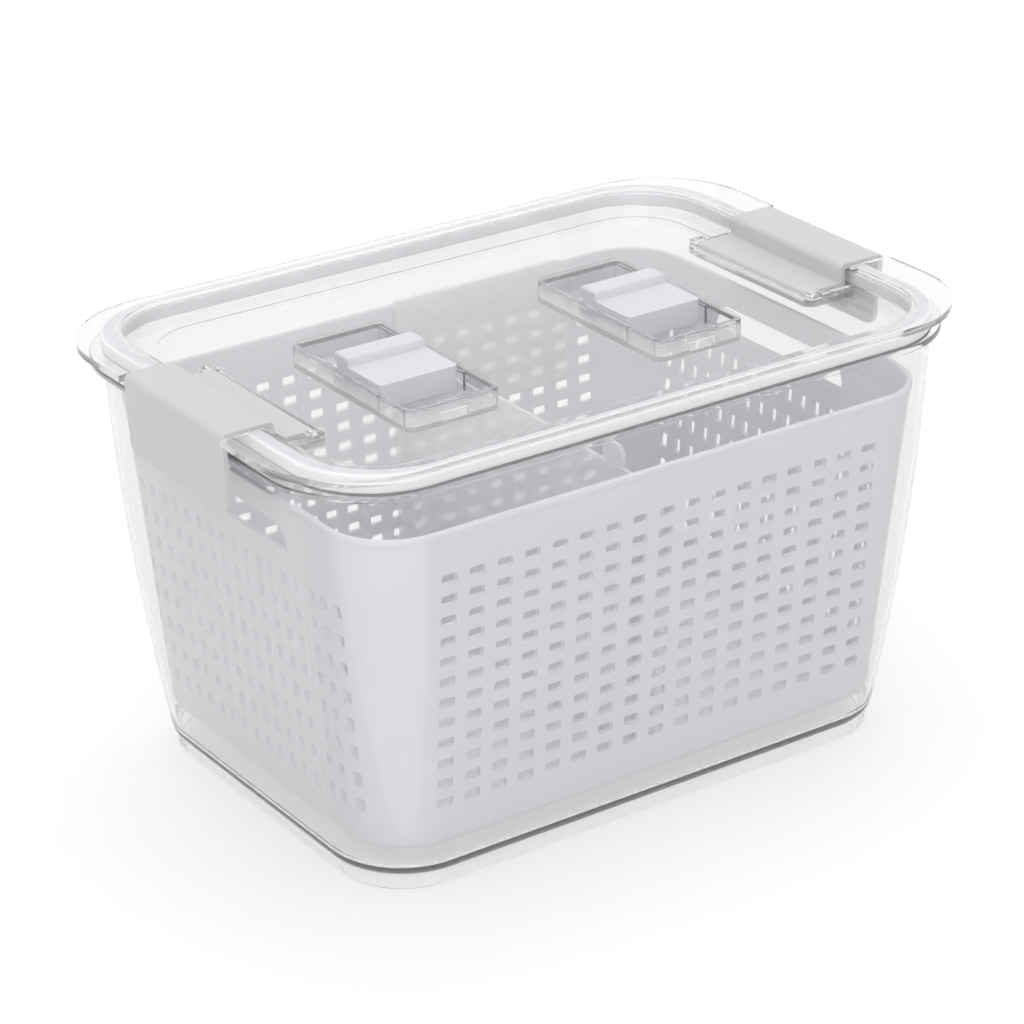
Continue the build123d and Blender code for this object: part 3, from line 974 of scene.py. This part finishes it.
# %% Floor
FLOOR_HALF = 6000.0
PAPER_COLOUR = "#E6E6E6"
SHOWN_PAPER_COLOUR = "#CECECE"
SHOWN_GLOW = 0.5
floor_mesh = mesh_of(
    "floor",
    np.array([[-1, -1, 0], [1, -1, 0], [1, 1, 0], [-1, 1, 0]]) * FLOOR_HALF,
    [(0, 1, 2, 3)],
)
floor_material, tree, output = new_material("white_studio_paper")
paper = add(tree, "ShaderNodeBsdfDiffuse", {"Color": linear(PAPER_COLOUR)})
glow = add(tree, "ShaderNodeEmission", {"Color": linear("#FFFFFF"), "Strength": SHOWN_GLOW})
shaded = add(tree, "ShaderNodeBsdfDiffuse", {"Color": linear(SHOWN_PAPER_COLOUR)})
sum_shader = add(
    tree, "ShaderNodeAddShader", None, {0: shaded.outputs["BSDF"], 1: glow.outputs["Emission"]}
)
path = add(tree, "ShaderNodeLightPath")
seen_or_passed = add(
    tree, "ShaderNodeMath", {"operation": "MAXIMUM"},
    {0: path.outputs["Is Camera Ray"], 1: path.outputs["Is Transmission Ray"]},
)
seen = add(
    tree, "ShaderNodeMath", {"operation": "MAXIMUM"},
    {0: seen_or_passed.outputs["Value"], 1: path.outputs["Is Glossy Ray"]},
)
shown = add(
    tree, "ShaderNodeMixShader", None,
    {"Fac": seen.outputs["Value"], 1: paper.outputs["BSDF"], 2: sum_shader.outputs["Shader"]},
)
tree.links.new(shown.outputs["Shader"], output.inputs["Surface"])
floor_mesh.materials.append(floor_material)
floor = bpy.data.objects.new("floor", floor_mesh)
bpy.context.scene.collection.objects.link(floor)
print("floor side, mm:", 2 * FLOOR_HALF)

# %% World
LIGHTING_STRENGTH = 0.66
WHITE_STRENGTH = 1.0
OVERHEAD_STRENGTH = 0.6
# The upward part of a ray's direction at which the grey starts and is full.
GREY_START = 0.55
GREY_FULL = 0.85
world = bpy.data.worlds.new("studio")
bpy.context.scene.world = world
world.use_nodes = True
tree = world.node_tree
tree.nodes.clear()
output = add(tree, "ShaderNodeOutputWorld")
path = add(tree, "ShaderNodeLightPath")
soft = add(
    tree, "ShaderNodeBackground", {"Color": linear("#FFFFFF"), "Strength": LIGHTING_STRENGTH}
)
white = add(
    tree, "ShaderNodeBackground", {"Color": linear("#FFFFFF"), "Strength": WHITE_STRENGTH}
)
direction = add(tree, "ShaderNodeTexCoord")
parts = add(tree, "ShaderNodeSeparateXYZ", None, {0: direction.outputs["Generated"]})
zones = add(
    tree, "ShaderNodeMapRange",
    {
        "From Min": GREY_START, "From Max": GREY_FULL,
        "To Min": WHITE_STRENGTH, "To Max": OVERHEAD_STRENGTH,
    },
    {"Value": parts.outputs["Z"]},
)
bent = add(
    tree, "ShaderNodeBackground", {"Color": linear("#FFFFFF")},
    {"Strength": zones.outputs["Result"]},
)
bent_ray = add(
    tree, "ShaderNodeMath", {"operation": "MAXIMUM"},
    {0: path.outputs["Is Glossy Ray"], 1: path.outputs["Is Transmission Ray"]},
)
first_mix = add(
    tree, "ShaderNodeMixShader", None,
    {
        "Fac": bent_ray.outputs["Value"],
        1: soft.outputs["Background"],
        2: bent.outputs["Background"],
    },
)
last_mix = add(
    tree, "ShaderNodeMixShader", None,
    {
        "Fac": path.outputs["Is Camera Ray"],
        1: first_mix.outputs["Shader"],
        2: white.outputs["Background"],
    },
)
tree.links.new(last_mix.outputs["Shader"], output.inputs["Surface"])
print("world strengths:", LIGHTING_STRENGTH, WHITE_STRENGTH, OVERHEAD_STRENGTH)

# %% Lamps
OBJECT_MIDDLE = (0.0, 0.0, 90.0)
KEY_LAMP = {"place_mm": (-1200, -1800, 1100), "size_mm": 1500, "power": 9.0}
TOP_LAMP = {"place_mm": (300, 500, 2300), "size_mm": 1600, "power": 12.0}


def soft_lamp(name, place_mm, target_mm, size_mm, power):
    """A square soft lamp at a place, turned to face a target."""
    data = bpy.data.lights.new(name, "AREA")
    data.size = size_mm * MM
    data.energy = power
    lamp = bpy.data.objects.new(name, data)
    bpy.context.scene.collection.objects.link(lamp)
    lamp.location = np.array(place_mm) * MM
    facing = lamp.location - Vector(target_mm) * MM
    lamp.rotation_mode = "QUATERNION"
    lamp.rotation_quaternion = facing.to_track_quat("Z", "Y")
    print(f"{name}: {power} watts over a square of {size_mm} mm")


soft_lamp("key_lamp", target_mm=OBJECT_MIDDLE, **KEY_LAMP)
soft_lamp("top_lamp", target_mm=OBJECT_MIDDLE, **TOP_LAMP)
